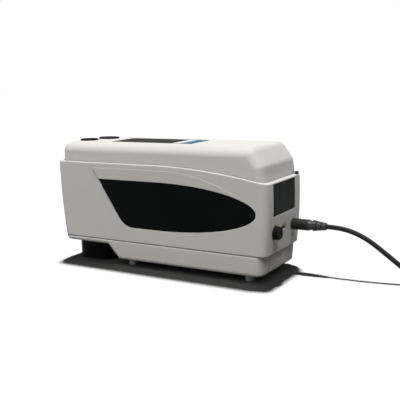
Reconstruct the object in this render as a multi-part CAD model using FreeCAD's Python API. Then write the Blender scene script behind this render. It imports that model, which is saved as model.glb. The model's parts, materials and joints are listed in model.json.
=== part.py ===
"""Hand-held colorimeter: three moulded housing shells round a measuring head,
a display with two keys, a battery bay, and a charging lead in its rear socket.

Millimetres, +Z up. The origin is the centre of the measuring port on the
plane that the instrument rests on. +X runs from the port to the rear panel.
"""
import FreeCAD, Part
import math
import os

Vector = FreeCAD.Vector

# Overall housing
body_length = 206.5          # front face to rear face of the middle housing
port_to_front = 27.0         # port axis to the front face
stand_height = 5.0           # table to the underside of the bottom cover
shell_height = 100.7         # underside of the bottom cover to the top
wall = 2.2                   # moulded wall of all three shells
corner_radius = 6.5          # upright corners of the middle and bottom shells
beyond_rear = 15.0           # how far the ledge line is carried past the rear face

# Middle housing
seam_height = 17.0           # bottom cover's underside to the lower seam
ledge_height = 84.3          # the same underside to the ledge at the front
ledge_drop = 10.8            # how far the ledge falls by the rear face
ledge_flat_length = 101.0    # front face to where the ledge starts to fall
ledge_half_width = 34.7
seam_half_width = 33.5
front_lean = 3.0             # the front face leans in by this at the seam
front_widest_height = 72.0   # height of the front face's furthest point
ledge_edge_radius = 1.0
rear_lean = 2.4              # the rear face leans in by this at the seam
rear_widest_height = 58.5    # height of the rear face's furthest point
flange_thickness = 2.2       # the inward ledge that carries the top cover
seam_groove = 0.7            # shadow groove round the lower seam
seam_groove_depth = 0.9

# Bottom cover
base_half_width = 32.8
overhang_height = 12.4       # underside to the overhang round the nose
overhang_length = 51.7       # front face to the top of the slanted wall
slant_run = 10.7             # the slanted wall's length along X
front_tuck = 4.2             # the overhang's foot, back from the front face
rear_step = 5.2              # rear face to the bottom cover's rear at the seam
rear_foot_step = 6.5         # the same at the underside
base_edge_radius = 2.6

# Top cover
cover_front_inset = 3.2
cover_front_lean = 1.6
cover_side_inset = 1.2
cover_side_lean = 0.6
cover_rear_inset = 3.0
cover_rear_lean = 2.2
facet_run = 9.8              # the rear facet's length along X
facet_drop = 13.8            # and its fall
cover_edge_radius = 8.0
skirt_thickness = 1.2        # locating skirt inside the housing's opening
skirt_clearance = 0.2
skirt_depth = 2.0            # below the ledge
skirt_root = 3.0             # and above it

# Side inlay, measured from the front face and the underside
inlay_tip = 196.2            # the rear tip of the leaf
inlay_bow_start = 106.0      # where the half ellipse starts
inlay_height = 49.8          # the leaf's middle height
inlay_half_height = 20.4
inlay_corner = 46.1          # the sharp front corner
inlay_foot = 71.3            # the slanted edge produced to the lower edge
inlay_foot_radius = 17.0
inlay_thickness = 0.9
inlay_seat_depth = 0.9
inlay_clearance = 0.12

# Raised border over the inlay
border_height = 79.9         # its top edge above the underside
border_front = 40.7
border_foot = 65.0
border_flat_end = 113.0
border_radius = 140.0
border_rear = 189.0
border_step = 0.7            # how proud it stands at its top edge
border_fade_height = 38.0    # where it runs out into the side

# Display window, LCD and keys
window_front = 48.5
window_length = 81.0
window_width = 34.0
window_thickness = 1.2
window_radius = 3.0
window_margin = 2.2          # the shelf under the window's rim
lcd_length = 64.0
lcd_width = 36.0
lcd_thickness = 4.6
board_thickness = 1.6
display_board_front = 9.0
display_board_rear = 135.0
display_board_half_width = 24.0
key_sizes = {"measure_key": (18.4, -9.6, 16.5, 15.0), "menu_key": (26.0, 9.4, 20.5, 15.0)}
key_rise = 1.3
key_travel = 0.8
key_clearance = 0.3
key_flange_width = 0.9
key_flange_thickness = 0.9
key_stem_length = 0.6
key_stem_share = 0.55
mat_thickness = 0.8
dome_radius = 4.0
dome_top_radius = 2.4
key_edge_radius = 0.8
cover_post_radius = 2.2
cover_post_setback = 34.0    # display board's front edge to the front pair of posts
cover_post_margin = 5.0      # its rear edge to the rear pair
cover_post_side = 3.0        # its side edge to all four

# Screw posts
front_post = 85.0            # from the front face
rear_post = 33.5             # from the rear face
post_y = 26.0
post_radius = 3.6
screw_radius = 1.3
screw_head_radius = 2.6
screw_head_height = 1.6
screw_recess = 2.2
screw_clearance = 0.3
screw_bite = 4.0             # thread length taken up in a post
cross_width = 0.8
cross_length = 3.6
cross_depth = 0.7

# Boards and rear sockets
board_level = 29.4           # main board's top above the underside
board_front = 77.0
board_half_width = 28.0
board_rear_gap = 1.0
socket_level = 34.2          # jack axis above the underside
jack_y = 16.0
jack_body_width = 9.0
jack_body_length = 13.0
jack_bush_radius = 4.2
plug_barrel_radius = 2.75
plug_barrel_length = 9.5
plug_pin_radius = 0.6
jack_bore_clearance = 0.1
usb_y = -3.2
usb_level = 35.5
usb_width = 7.7
usb_height = 3.9
usb_depth = 9.2
usb_skin = 0.4
button_y = -19.4
button_level = 34.0
button_radius = 5.2
button_rise = 4.8
button_travel = 2.5
button_clearance = 0.3
button_edge = 0.9
button_dish_radius = 30.0
button_dish_depth = 0.4
button_skirt = 0.5           # how far the cap's inner end stays inside the wall
button_stem_radius = 2.0
button_stem_length = 9.5
switch_half_width = 6.0
switch_length = 14.0

# Larger components on the main board: (x from its front edge, y, length, width, height)
board_blocks = (
    (22.0, 4.0, 14.0, 14.0, 1.4), (44.0, 14.0, 9.0, 6.0, 1.2), (44.0, -14.0, 6.0, 6.0, 1.0),
    (8.0, -12.0, 5.0, 16.0, 5.5), (66.0, 17.0, 12.0, 12.0, 3.2), (64.0, -16.0, 8.0, 10.0, 2.2),
)
flex_width = 18.0
flex_thickness = 0.4
flex_x = 96.0                # the flat cable's upright run
flex_bend_radius = 3.0
flex_reach = 9.0             # how far it lies along either board

# Label plate on the rear face
label_width = 42.6
label_height = 25.2
label_y = -2.6
label_level = 59.8           # its centre above the underside
label_depth = 1.1            # seat depth from the furthest point of the face
label_thickness = 0.8
label_clearance = 0.15

# Strap eyelet on the rear corner of the ledge
eyelet_side_inset = 8.2      # eyelet's middle to the ledge's edge
eyelet_width = 3.0
eyelet_height = 2.2
eyelet_length = 2.2
eyelet_hole_radius = 0.6
eyelet_inset = 0.6           # its rear side, in from the rear face

# Nose and optics
nose_front = 21.0            # port axis to the nose's front
nose_rear = 24.0
nose_half_width = 25.0
nose_corner = 17.0
nose_wall = 2.0
nose_floor = 2.4
nose_rim = 1.0               # thin rim round the nose's foot
nose_rim_height = 1.4
nose_rim_chamfer = 0.5
neck_radius = 18.0           # the tube that holds the sphere and goes up into the cover
neck_inner_radius = 16.3
neck_clearance = 0.2
nut_radius = 20.3            # ring nut that holds the nose to the overhang
nut_height = 2.5
aperture_radius = 4.0
aperture_ring_radius = 9.0
aperture_ring_height = 1.6
dish_radius = 15.0           # shallow recess round the aperture ring
dish_depth = 0.5
glass_radius = 7.0
glass_thickness = 1.0
sphere_radius = 16.0
sphere_wall = 2.2
sphere_port_radius = 5.0
cradle_height = 3.5          # seat for the sphere above the nose's floor
collar_radius = 19.5         # the sphere's collar, seated on the neck
collar_height = 2.5
sensor_angle = 8.0           # degrees off the port axis
sensor_tube_radius = 5.0
sensor_tube_length = 15.0
sensor_tube_entry = 3.0      # how deep the tube goes into the sphere
sensor_bore_radius = 3.2
sensor_board_radius = 8.0
lens_radius = 4.2
lens_thickness = 2.0
lens_station = 6.0
lens_curve_radius = 9.0
led_board_radius = 13.0
led_board_drop = 4.0         # below the sphere's top
bracket_thickness = 1.6
bracket_opening = 15.0
bracket_width = 20.0
bracket_leg_x = 40.0
bracket_tab_length = 10.0
bracket_screw_x = 46.0
bracket_screw_y = 6.0
bracket_boss_radius = 3.0
bracket_boss_height = 4.0
small_screw_radius = 1.0
small_head_radius = 2.0
small_head_height = 1.2

# Battery bay
door_thickness = 1.8
door_lip_height = 14.0
door_clearance = 0.3
door_tongue = 2.5
door_travel = 12.0
bay_margin = 2.0             # tongue to the bay's opening
bay_end_gap = 2.55           # tray to either end of the opening
bay_side_overlap = 1.4       # door's side beyond the tray
thumb_radius = 9.0           # scallop in the door's lip
thumb_depth = 1.2
thumb_drop = 3.6             # its centre below the lip's top
bay_rim_width = 2.0          # raised rim round the door, inside
bay_rim_height = 1.2
rail_thickness = 1.2
rail_rise = 0.8              # above the cover's floor
grip_ridge_count = 5
grip_ridge_pitch = 2.4
grip_ridge_width = 1.0
grip_ridge_half_length = 8.0
grip_ridge_height = 0.4
grip_ridge_setback = 8.0
cell_length = 54.0
cell_width = 34.0
cell_height = 9.5
cell_clearance = 0.4
cell_lift = 1.0              # the cell's underside above the bay's rim
tray_wall = 1.2
contact_width = 2.4
contact_thickness = 0.3
contact_pitch = 6.0
contact_low = 2.0            # above the cell's underside
contact_high = 7.0

# Feet
front_foot = 74.0            # from the front face
rear_foot = 19.5             # from the rear face
foot_y = 25.5
foot_radius = 4.2
foot_seat_depth = 0.8
foot_clearance = 0.1
foot_edge_radius = 0.9

# Charging lead
cord_radius = 2.0
grip_radius = 4.6
grip_length = 28.5
grip_gap = 0.2
grip_end_radius = 2.7
grip_rib_count = 3
grip_rib_pitch = 3.9
coil_inner_radius = 16.0
coil_columns = 3
coil_layers = 3
floor_gap = 0.05             # table to the underside of the lead
usb_plug_length = 26.0
usb_plug_width = 15.0
usb_plug_height = 7.6
usb_shell_length = 12.0
usb_shell_width = 12.0
usb_shell_height = 4.5
usb_plug_offset = 12.0       # coil's axis to the plug's axis
usb_plug_rear = 8.0          # coil's axis to the plug's rear end
usb_plug_edge_radius = 2.0

# Levels and stations that follow from the sizes above
front_x = -port_to_front
rear_x = front_x + body_length
base_z = stand_height
seam_z = base_z + seam_height
overhang_z = base_z + overhang_height
ledge_z = base_z + ledge_height
top_z = base_z + shell_height
roof_z = top_z - wall
floor_z = base_z + wall
rear_widest_z = base_z + rear_widest_height
front_widest_z = base_z + front_widest_height
board_top = base_z + board_level
board_bottom = board_top - board_thickness
far = 60.0                   # beyond the housing on either side
eyelet_y = ledge_half_width - eyelet_side_inset
lip_inner_x = rear_x - rear_foot_step - wall
tray_length = cell_length + 2 * (cell_clearance + tray_wall)
tray_half_width = cell_width / 2 + cell_clearance + tray_wall
bay_front_x = lip_inner_x - tray_length - 2 * bay_end_gap
door_front_x = bay_front_x - bay_margin - door_tongue
door_half_width = tray_half_width + bay_side_overlap

parts = {}


def box(x0, x1, y0, y1, z0, z1):
    return Part.makeBox(x1 - x0, y1 - y0, z1 - z0, Vector(x0, y0, z0))


def rod_x(radius, x0, x1, y, z):
    return Part.makeCylinder(radius, x1 - x0, Vector(x0, y, z), Vector(1, 0, 0))


def rod_z(radius, x, y, z0, z1):
    return Part.makeCylinder(radius, z1 - z0, Vector(x, y, z0))


def mirrored(shape):
    return shape.mirror(Vector(0, 0, 0), Vector(0, 1, 0))


def fuse_all(shapes):
    return shapes[0].multiFuse(shapes[1:]).removeSplitter()


def edges_where(shape, test):
    return [edge for edge in shape.Edges if test(edge.BoundBox)]


def corner_arc(before, corner, after, radius):
    """Start, middle and end of the arc that rounds a corner tangentially."""
    to_before = (before - corner).normalize()
    to_after = (after - corner).normalize()
    half = to_before.getAngle(to_after) / 2
    bisector = (to_before + to_after).normalize()
    start = corner + to_before * (radius / math.tan(half))
    end = corner + to_after * (radius / math.tan(half))
    middle = corner + bisector * (radius / math.sin(half) - radius)
    return start, middle, end


def rounded_wire(corners, closed=True):
    """Wire through (point, radius) corners: straight runs and tangent arcs."""
    count = len(corners)
    turns = []
    for index, (corner, radius) in enumerate(corners):
        if radius > 0:
            before = corners[index - 1][0]
            after = corners[(index + 1) % count][0]
            turns.append(corner_arc(before, corner, after, radius))
        else:
            turns.append((corner, None, corner))
    edges = []
    for index, (start, middle, end) in enumerate(turns):
        if middle is not None:
            edges.append(Part.Arc(start, middle, end).toShape())
        if closed or index < count - 1:
            onward = turns[(index + 1) % count][0]
            if end.distanceToPoint(onward) > 1e-6:
                edges.append(Part.LineSegment(end, onward).toShape())
    return Part.Wire(edges)


def side_prism(corners, y0=-far, y1=far):
    """Extrude (x, z, radius) corners across the instrument."""
    wire = rounded_wire([(Vector(x, y0, z), radius) for x, z, radius in corners])
    return Part.Face(wire).extrude(Vector(0, y1 - y0, 0))


def section_prism(corners, x0, x1):
    """Extrude (y, z) corners along the instrument."""
    wire = rounded_wire([(Vector(x0, y, z), 0) for y, z in corners])
    return Part.Face(wire).extrude(Vector(x1 - x0, 0, 0))


def plan_prism(x0, x1, half_width, radius, z0, z1, y_mid=0.0):
    """Upright prism on a rounded rectangle."""
    spots = [(x0, -half_width), (x1, -half_width), (x1, half_width), (x0, half_width)]
    wire = rounded_wire([(Vector(x, y_mid + y, z0), radius) for x, y in spots])
    return Part.Face(wire).extrude(Vector(0, 0, z1 - z0))


def arc_reach(run, rise):
    """Radius of an arc that starts level and falls by rise over run."""
    return (run * run + rise * rise) / (2 * rise)


def above_ledge(offset=0.0):
    """All the space over the ledge line, which is level and then an arc."""
    start = Vector(front_x - far, -far, ledge_z + offset)
    flat_end = Vector(front_x + ledge_flat_length, -far, ledge_z + offset)
    radius = arc_reach(body_length - ledge_flat_length, ledge_drop)
    run = rear_x + beyond_rear - flat_end.x
    middle = flat_end + Vector(run / 2, 0, math.sqrt(radius ** 2 - run ** 2 / 4) - radius)
    end = flat_end + Vector(run, 0, math.sqrt(radius ** 2 - run ** 2) - radius)
    high_end = Vector(end.x, -far, top_z + far)
    high_start = Vector(start.x, -far, top_z + far)
    edges = [
        Part.LineSegment(start, flat_end).toShape(),
        Part.Arc(flat_end, middle, end).toShape(),
        Part.LineSegment(end, high_end).toShape(),
        Part.LineSegment(high_end, high_start).toShape(),
        Part.LineSegment(high_start, start).toShape(),
    ]
    return Part.Face(Part.Wire(edges)).extrude(Vector(0, 2 * far, 0))


def ledge_level(x):
    """Height of the ledge line at a station."""
    run = max(0.0, x - front_x - ledge_flat_length)
    radius = arc_reach(body_length - ledge_flat_length, ledge_drop)
    return ledge_z - radius + math.sqrt(radius ** 2 - run ** 2)


def side_half_width(z):
    """Half-width of the middle housing's leaning side at a height."""
    share = (z - seam_z) / (ledge_z - seam_z)
    return seam_half_width + (ledge_half_width - seam_half_width) * share


def rear_face_x(z, inset=0.0):
    """Station of the bowed rear face at a height."""
    radius = arc_reach(rear_widest_z - seam_z, rear_lean) - inset
    return rear_x - inset - radius + math.sqrt(radius ** 2 - (z - rear_widest_z) ** 2)


def front_face_x(z, inset=0.0):
    """Station of the bowed front face at a height."""
    radius = arc_reach(front_widest_z - seam_z, front_lean) - inset
    return front_x + inset + radius - math.sqrt(radius ** 2 - (z - front_widest_z) ** 2)


def middle_block(inset=0.0):
    """The middle housing as a full block that reaches past the ledge."""
    low = seam_z
    high = ledge_z + 4
    middle = (low + high) / 2
    front = [Vector(front_face_x(z, inset), -far, z) for z in (low, middle, high)]
    rear = [Vector(rear_face_x(z, inset), -far, z) for z in (low, middle, high)]
    edges = [
        Part.LineSegment(front[0], rear[0]).toShape(),
        Part.Arc(rear[0], rear[1], rear[2]).toShape(),
        Part.LineSegment(rear[2], front[2]).toShape(),
        Part.Arc(front[2], front[1], front[0]).toShape(),
    ]
    side = Part.Face(Part.Wire(edges)).extrude(Vector(0, 2 * far, 0))
    low_half = side_half_width(low) - inset
    high_half = side_half_width(high) - inset
    corners = [(-low_half, low), (low_half, low), (high_half, high), (-high_half, high)]
    block = side.common(section_prism(corners, front_x - far, rear_x + far))
    uprights = edges_where(block, lambda bound: bound.ZLength > (high - low) / 2)
    return block.makeFillet(corner_radius - inset, uprights)


def bottom_block(inset=0.0):
    """The bottom cover's outer form: the overhang, slanted wall and base."""
    tuck_slope = (front_tuck - front_lean) / (seam_z - overhang_z)
    foot_x = front_x + front_lean + tuck_slope * seam_height + inset
    corners = [
        (front_x + front_lean + inset, seam_z, 0),
        (foot_x, base_z, 0),
        (rear_x - rear_foot_step - inset, base_z, 0),
        (rear_x - rear_step - inset, seam_z, 0),
    ]
    side = side_prism(corners)
    low_half = base_half_width - inset
    high_half = seam_half_width - inset
    section = [(-low_half, base_z), (low_half, base_z), (high_half, seam_z), (-high_half, seam_z)]
    block = side.common(section_prism(section, front_x - far, rear_x + far))
    uprights = edges_where(block, lambda bound: bound.YLength < 4 and bound.ZLength > 1)
    block = block.makeFillet(corner_radius - inset, uprights)
    overhang_x = front_x + overhang_length + inset * 0.5
    below = [
        (front_x - far, overhang_z + inset, 0), (overhang_x, overhang_z + inset, 0),
        (overhang_x + slant_run, base_z + inset, 0), (rear_x + far, base_z + inset, 0),
        (rear_x + far, -far, 0), (front_x - far, -far, 0),
    ]
    block = block.cut(side_prism(below))
    slant_start = overhang_x - 0.1
    slant_end = overhang_x + slant_run + 0.1
    rim = edges_where(block, lambda bound: bound.ZMax < seam_z - 0.5 and not (
        bound.YLength > base_half_width and bound.XMin > slant_start and bound.XMax < slant_end))
    return block.makeFillet(base_edge_radius - inset * 0.5, rim)


def cover_block(inset=0.0):
    """The top cover's outer form, reaching below the ledge."""
    low = ledge_z - ledge_drop - 6
    high = top_z - inset
    front = front_x + cover_front_inset + inset
    rear = rear_x - cover_rear_inset - inset
    corners = [
        (front, low, 0),
        (front + cover_front_lean, high, 0),
        (rear - cover_rear_lean - facet_run, high, 0),
        (rear - cover_rear_lean, high - facet_drop, 0),
        (rear, low, 0),
    ]
    side = side_prism(corners)
    low_half = ledge_half_width - cover_side_inset - inset
    high_half = low_half - cover_side_lean
    section = [(-low_half, low), (low_half, low), (high_half, high), (-high_half, high)]
    block = side.common(section_prism(section, front_x - far, rear_x + far))
    upper = edges_where(block, lambda bound: bound.ZMax > low + 1)
    return block.makeFillet(cover_edge_radius - inset, upper)


def leaf_prism(inset):
    """The inlay's outline: a slanted front edge and a half ellipse behind."""
    bow_x = front_x + inlay_bow_start
    mid_z = base_z + inlay_height
    half = inlay_half_height - inset
    reach = inlay_tip - inlay_bow_start - inset
    slope = (inlay_foot - inlay_corner) / (2 * inlay_half_height)
    shift = inset * math.sqrt(1 + slope ** 2) + inset * slope
    top_front = Vector(front_x + inlay_corner + shift, -far, mid_z + half)
    low_front = Vector(top_front.x + slope * 2 * half, -far, mid_z - half)
    bow_top = Vector(bow_x, -far, mid_z + half)
    bow_low = Vector(bow_x, -far, mid_z - half)
    start, middle, end = corner_arc(top_front, low_front, bow_low, inlay_foot_radius)
    ellipse = Part.Ellipse(Vector(bow_x + reach, -far, mid_z), bow_top, Vector(bow_x, -far, mid_z))
    quarter = math.pi / 2
    edges = [
        Part.LineSegment(bow_top, top_front).toShape(),
        Part.LineSegment(top_front, start).toShape(),
        Part.Arc(start, middle, end).toShape(),
        Part.LineSegment(end, bow_low).toShape(),
        Part.ArcOfEllipse(ellipse, -quarter, quarter).toShape(),
    ]
    return Part.Face(Part.Wire(edges)).extrude(Vector(0, far, 0))


def side_layer(inner, outer):
    """A layer of the near side between two depths from its surface."""
    low, high = seam_z, ledge_z
    corners = [
        (-side_half_width(low) - outer, low), (-side_half_width(high) - outer, high),
        (-side_half_width(high) - inner, high), (-side_half_width(low) - inner, low),
    ]
    return section_prism(corners, front_x, rear_x)


def border_pad():
    """Raised border: proud at its top edge and run out lower down."""
    top = base_z + border_height
    fade = base_z + border_fade_height
    flat_end = Vector(front_x + border_flat_end, -far, top)
    run = border_rear - border_flat_end
    fall = border_radius - math.sqrt(border_radius ** 2 - run ** 2)
    half_fall = border_radius - math.sqrt(border_radius ** 2 - run ** 2 / 4)
    bow_end = flat_end + Vector(run, 0, -fall)
    bow_middle = flat_end + Vector(run / 2, 0, -half_fall)
    start = Vector(front_x + border_front, -far, top)
    foot = Vector(front_x + border_foot, -far, fade)
    rear_foot = Vector(bow_end.x + 4, -far, fade)
    edges = [
        Part.LineSegment(start, flat_end).toShape(),
        Part.Arc(flat_end, bow_middle, bow_end).toShape(),
        Part.LineSegment(bow_end, rear_foot).toShape(),
        Part.LineSegment(rear_foot, foot).toShape(),
        Part.LineSegment(foot, start).toShape(),
    ]
    outline = Part.Face(Part.Wire(edges)).extrude(Vector(0, 2 * far, 0))
    high_half = side_half_width(top)
    low_half = side_half_width(fade)
    corners = [
        (-low_half, fade), (-high_half - border_step, top),
        (-high_half + 1, top), (-low_half + 1, fade),
    ]
    return outline.common(section_prism(corners, front_x, rear_x))


def oval_key(centre_x, centre_y, length, width, z0, z1, grow=0.0):
    """Upright oval prism: an ellipse in plan."""
    middle = Vector(centre_x, centre_y, z0)
    long_end = middle + Vector(length / 2 + grow, 0, 0)
    short_end = middle + Vector(0, width / 2 + grow, 0)
    edge = Part.Ellipse(long_end, short_end, middle).toShape()
    return Part.Face(Part.Wire([edge])).extrude(Vector(0, 0, z1 - z0))


def screw_posts():
    """The four screw places as (x, y)."""
    return [(x, y) for x in (front_x + front_post, rear_x - rear_post) for y in (-post_y, post_y)]


def foot_places():
    """The four feet as (x, y)."""
    return [(x, y) for x in (front_x + front_foot, rear_x - rear_foot) for y in (-foot_y, foot_y)]


def build_middle_housing():
    cut_above = above_ledge()
    outer = middle_block().cut(cut_above)
    shoulder = edges_where(outer, lambda bound: bound.ZMin > ledge_z - ledge_drop - 3)
    outer = outer.makeFillet(ledge_edge_radius, shoulder)
    outer = outer.fuse([border_pad(), mirrored(border_pad())]).cut(cut_above)
    cavity = middle_block(wall).cut(above_ledge(-flange_thickness))
    front = front_x + cover_front_inset + wall
    rear = rear_x - cover_rear_inset - wall
    half = ledge_half_width - cover_side_inset - wall
    below_flange = ledge_z - ledge_drop - 2 * flange_thickness
    opening = plan_prism(front, rear, half, corner_radius - wall, below_flange, top_z)
    housing = outer.cut(cavity.fuse(opening))
    seat = leaf_prism(0.0).common(side_layer(-inlay_seat_depth, 5.0))
    housing = housing.cut(seat.fuse(mirrored(seat)))
    posts = []
    for x, y in screw_posts():
        post = rod_z(post_radius, x, y, seam_z, board_bottom)
        toward_wall = math.copysign(side_half_width(board_bottom) - wall / 2, y)
        low_y, high_y = sorted((y, toward_wall))
        rib = box(x - 1, x + 1, low_y, high_y, seam_z, board_bottom)
        posts.append(post.fuse(rib))
    housing = housing.fuse(posts)
    bores = [rod_z(screw_radius, x, y, seam_z - 1, board_bottom + 1) for x, y in screw_posts()]
    label_z = base_z + label_level
    seat_x = rear_x - label_depth
    recess = box(seat_x, rear_x + 5, label_y - label_width / 2, label_y + label_width / 2,
                 label_z - label_height / 2, label_z + label_height / 2)
    low_x = rear_x - 3 * wall
    high_x = rear_x + 5
    level = base_z + button_level
    button_hole = rod_x(button_radius + button_clearance, low_x, high_x, button_y, level)
    jack_hole = rod_x(jack_bush_radius + jack_bore_clearance, low_x, high_x, jack_y,
                      base_z + socket_level)
    gap = jack_bore_clearance
    usb_z = base_z + usb_level
    usb_hole = box(low_x, high_x, usb_y - usb_width / 2 - gap, usb_y + usb_width / 2 + gap,
                   usb_z - usb_height / 2 - gap, usb_z + usb_height / 2 + gap)
    housing = housing.cut(bores + [recess, button_hole, jack_hole, usb_hole])
    parts["middle_housing"] = housing


def build_inlays():
    leaf = leaf_prism(inlay_clearance).common(
        side_layer(-inlay_seat_depth, inlay_thickness - inlay_seat_depth))
    parts["side_inlay_near"] = leaf
    parts["side_inlay_far"] = mirrored(leaf)


def door_plan(clearance, z0, z1):
    """The battery door's outline, open to the rear."""
    half = door_half_width + clearance
    return box(door_front_x - clearance, rear_x, -half, half, z0, z1)


def build_bottom_cover():
    shell = bottom_block().cut(bottom_block(wall))
    groove_outer = bottom_block()
    groove_inner = bottom_block(seam_groove_depth)
    groove = groove_outer.cut(groove_inner)
    groove = groove.common(box(front_x - far, rear_x + far, -far, far, seam_z - seam_groove, seam_z))
    shell = shell.cut(groove)
    bosses = []
    for x, y in screw_posts():
        bosses.append(rod_z(post_radius, x, y, base_z + 0.5, seam_z))
    cuts = []
    for y in (-bracket_screw_y, bracket_screw_y):
        boss_top = floor_z + bracket_boss_height
        bosses.append(rod_z(bracket_boss_radius, bracket_screw_x, y, base_z + 0.5, boss_top))
        cuts.append(rod_z(small_screw_radius, bracket_screw_x, y, floor_z, boss_top + 1))
    rim_half = door_half_width + bay_rim_width
    bosses.append(box(door_front_x - bay_rim_width, lip_inner_x, -rim_half, rim_half,
                      floor_z - 0.5, floor_z + bay_rim_height))
    shell = shell.fuse(bosses)
    for x, y in screw_posts():
        cuts.append(rod_z(screw_radius + screw_clearance, x, y, base_z - 1, seam_z + 1))
        head = screw_head_radius + screw_clearance
        cuts.append(rod_z(head, x, y, base_z - 1, base_z + screw_recess + screw_head_height))
    for x, y in foot_places():
        cuts.append(rod_z(foot_radius, x, y, base_z - 1, base_z + foot_seat_depth))
    cuts.append(rod_z(neck_radius + neck_clearance, 0, 0, overhang_z - 1, overhang_z + wall + 1))
    lip_top = base_z + door_lip_height + door_clearance
    lip_front = lip_inner_x - door_clearance
    cuts.append(door_plan(door_clearance, base_z - 1, base_z + door_thickness + door_clearance))
    lip = door_plan(door_clearance, base_z - 1, lip_top)
    cuts.append(lip.common(box(lip_front, rear_x, -far, far, 0, lip_top)))
    bay_half = door_half_width - door_tongue - door_clearance
    cuts.append(box(bay_front_x, lip_front + 0.1, -bay_half, bay_half, base_z - 1,
                    floor_z + bay_rim_height + 1))
    parts["bottom_cover"] = shell.cut(cuts)


def build_battery_door():
    outline = bottom_block().common(door_plan(0.0, base_z, base_z + door_lip_height))
    plate = outline.common(box(front_x, rear_x, -far, far, base_z, base_z + door_thickness))
    lip = outline.common(box(lip_inner_x, rear_x, -far, far, base_z, base_z + door_lip_height))
    thumb_x = rear_x - rear_step + thumb_radius - thumb_depth
    thumb = Part.makeSphere(thumb_radius, Vector(thumb_x, 0, base_z + door_lip_height - thumb_drop))
    lip = lip.cut(thumb)
    bay_half = door_half_width - door_tongue - 2 * door_clearance
    rail_low = base_z + door_thickness
    rail_front = bay_front_x + door_clearance
    rail_rear = lip_inner_x - door_travel
    rail_top = floor_z + rail_rise
    rails = []
    for y in (-bay_half, bay_half - rail_thickness):
        rails.append(box(rail_front, rail_rear, y, y + rail_thickness, rail_low, rail_top))
    ridges = []
    for index in range(grip_ridge_count):
        x = lip_inner_x - grip_ridge_setback - index * grip_ridge_pitch
        ridges.append(box(x, x + grip_ridge_width, -grip_ridge_half_length, grip_ridge_half_length,
                          base_z - grip_ridge_height, base_z))
    parts["battery_door"] = fuse_all([plate, lip] + rails + ridges)


def build_top_cover():
    outer = cover_block().common(above_ledge())
    inner = cover_block(wall).common(above_ledge(-1))
    cover = outer.cut(inner)
    skirt_inner = cover_block(wall + skirt_clearance + skirt_thickness)
    root = cover_block(wall - skirt_clearance).common(above_ledge()).cut(above_ledge(skirt_root))
    tongue = cover_block(wall + skirt_clearance).common(above_ledge(-skirt_depth))
    tongue = tongue.cut(above_ledge(skirt_root / 2))
    cover = cover.fuse([root.cut(skirt_inner), tongue.cut(skirt_inner)])
    x0 = front_x + window_front
    x1 = x0 + window_length
    half = window_width / 2
    seat = plan_prism(x0, x1, half, window_radius, top_z - window_thickness, top_z + 1)
    view = plan_prism(x0 + window_margin, x1 - window_margin, half - window_margin,
                      window_radius, roof_z - 1, top_z)
    cuts = [seat, view]
    for x, y, length, width in key_sizes.values():
        cuts.append(oval_key(front_x + x, y, length, width, roof_z - 3, top_z + 2, key_clearance))
    parts["top_cover"] = cover.cut(cuts)
    parts["display_window"] = plan_prism(x0 + 0.1, x1 - 0.1, half - 0.1, window_radius,
                                         top_z - window_thickness, top_z)


def build_display():
    window_x = front_x + window_front
    lcd_x = window_x + (window_length - lcd_length) - 1
    lcd_bottom = roof_z - lcd_thickness
    half = lcd_width / 2
    parts["lcd_module"] = box(lcd_x, lcd_x + lcd_length, -half, half, lcd_bottom, roof_z)
    board_low = lcd_bottom - board_thickness
    board = box(front_x + display_board_front, front_x + display_board_rear,
                -display_board_half_width, display_board_half_width, board_low, lcd_bottom)
    posts = []
    post_front = front_x + display_board_front + cover_post_setback
    post_rear = front_x + display_board_rear - cover_post_margin
    post_side = display_board_half_width - cover_post_side
    for x in (post_front, post_rear):
        for y in (-post_side, post_side):
            posts.append(rod_z(cover_post_radius, x, y, lcd_bottom, roof_z + 0.2))
    parts["display_board"] = board
    parts["top_cover"] = parts["top_cover"].fuse(posts)
    domes = []
    pads = []
    for x, y, length, width in key_sizes.values():
        pads.append(oval_key(front_x + x, y, length, width, lcd_bottom, lcd_bottom + mat_thickness))
        stem_low = roof_z - key_clearance - key_flange_thickness - key_stem_length
        dome_low = lcd_bottom + mat_thickness
        dome_rise = stem_low - key_travel - key_clearance - dome_low
        cone = Part.makeCone(dome_radius, dome_top_radius, dome_rise, Vector(front_x + x, y, dome_low))
        domes.append(cone)
    parts["key_mat"] = pads[0].fuse([pads[1]] + domes)


def build_keys():
    for name, (x, y, length, width) in key_sizes.items():
        centre = front_x + x
        cap = oval_key(centre, y, length, width, roof_z - key_clearance, top_z + key_rise)
        rim = edges_where(cap, lambda bound: bound.ZMin > top_z)
        cap = cap.makeFillet(key_edge_radius, rim)
        flange_top = roof_z - key_clearance
        flange_low = flange_top - key_flange_thickness
        flange = oval_key(centre, y, length, width, flange_low, flange_top, key_flange_width)
        flange = flange.common(cover_block(wall + key_clearance))
        stem = oval_key(centre, y, length * key_stem_share, width * key_stem_share,
                        flange_low - key_stem_length, flange_low)
        parts[name] = cap.fuse([flange, stem]).removeSplitter()


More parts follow.
